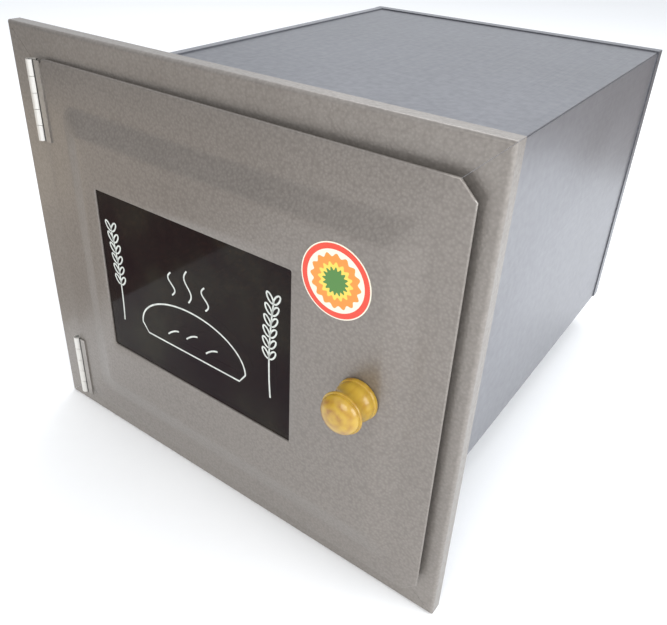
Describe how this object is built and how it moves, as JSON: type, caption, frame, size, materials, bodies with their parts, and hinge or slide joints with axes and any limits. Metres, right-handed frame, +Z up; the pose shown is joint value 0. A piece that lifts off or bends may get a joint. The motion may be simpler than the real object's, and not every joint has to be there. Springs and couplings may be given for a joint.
{
  "type": "wood stove oven",
  "caption": "Built-in sheet-metal oven for a wood stove: mitred front frame, side-hung door with window and round knob, steel box behind it with a wire rack on runners",
  "frame": {"origin": "underside of the box, at the middle of its width, in the plane where the frame's lip meets the stove wall", "axes": "+X to the viewer's right, +Y back into the stove, +Z up"},
  "size_m": [0.4, 0.5102, 0.348],
  "materials": {
    "frame_paint": "warm grey hammer paint, half gloss",
    "door_paint": "warm grey hammer paint, half gloss",
    "box_steel": "plain cold-rolled steel sheet, dull",
    "pan_steel": "plain steel sheet",
    "rack_wire": "bright plated wire",
    "window_glass": "clear stove glass that looks dark from outside",
    "hinge_steel": "dull zinc",
    "knob_wood": "yellow lacquered wood",
    "label_film": "printed film label"
  },
  "bodies": {
    "root": {"frame_top_rail": "frame_paint", "frame_bottom_rail": "frame_paint", "frame_left_stile": "frame_paint", "frame_right_stile": "frame_paint", "left_panel": "box_steel", "right_panel": "box_steel", "top_panel": "box_steel", "bottom_panel": "box_steel", "back_panel": "box_steel", "lower_left_runner": "box_steel", "lower_right_runner": "box_steel", "upper_left_runner": "box_steel", "upper_right_runner": "box_steel", "upper_hinge_frame_leaf": "door_paint", "upper_hinge_pin": "hinge_steel", "lower_hinge_frame_leaf": "door_paint", "lower_hinge_pin": "hinge_steel"},
    "door": {"door_skin": "door_paint", "door_pan": "pan_steel", "door_glass": "window_glass", "glass_channel": "pan_steel", "upper_hinge_door_leaf": "door_paint", "lower_hinge_door_leaf": "door_paint", "knob": "knob_wood", "knob_screw": "hinge_steel", "knob_washer": "hinge_steel", "catch_spring": "hinge_steel", "catch_rivets": "hinge_steel", "round_label": "label_film"},
    "rack": {"rack_frame": "rack_wire", "rack_wires": "rack_wire"}
  },
  "joints": [
    {"name": "door_hinge", "type": "hinge", "parent": "root", "child": "door", "pos_m": [-0.1726, -0.0146, 0.136], "axis": [0, 0, -1], "range_deg": [-0.7, 170]},
    {"name": "rack_slide", "type": "slide", "parent": "root", "child": "rack", "axis": [0, -1, 0], "range_m": [0, 0.055]}
  ]
}
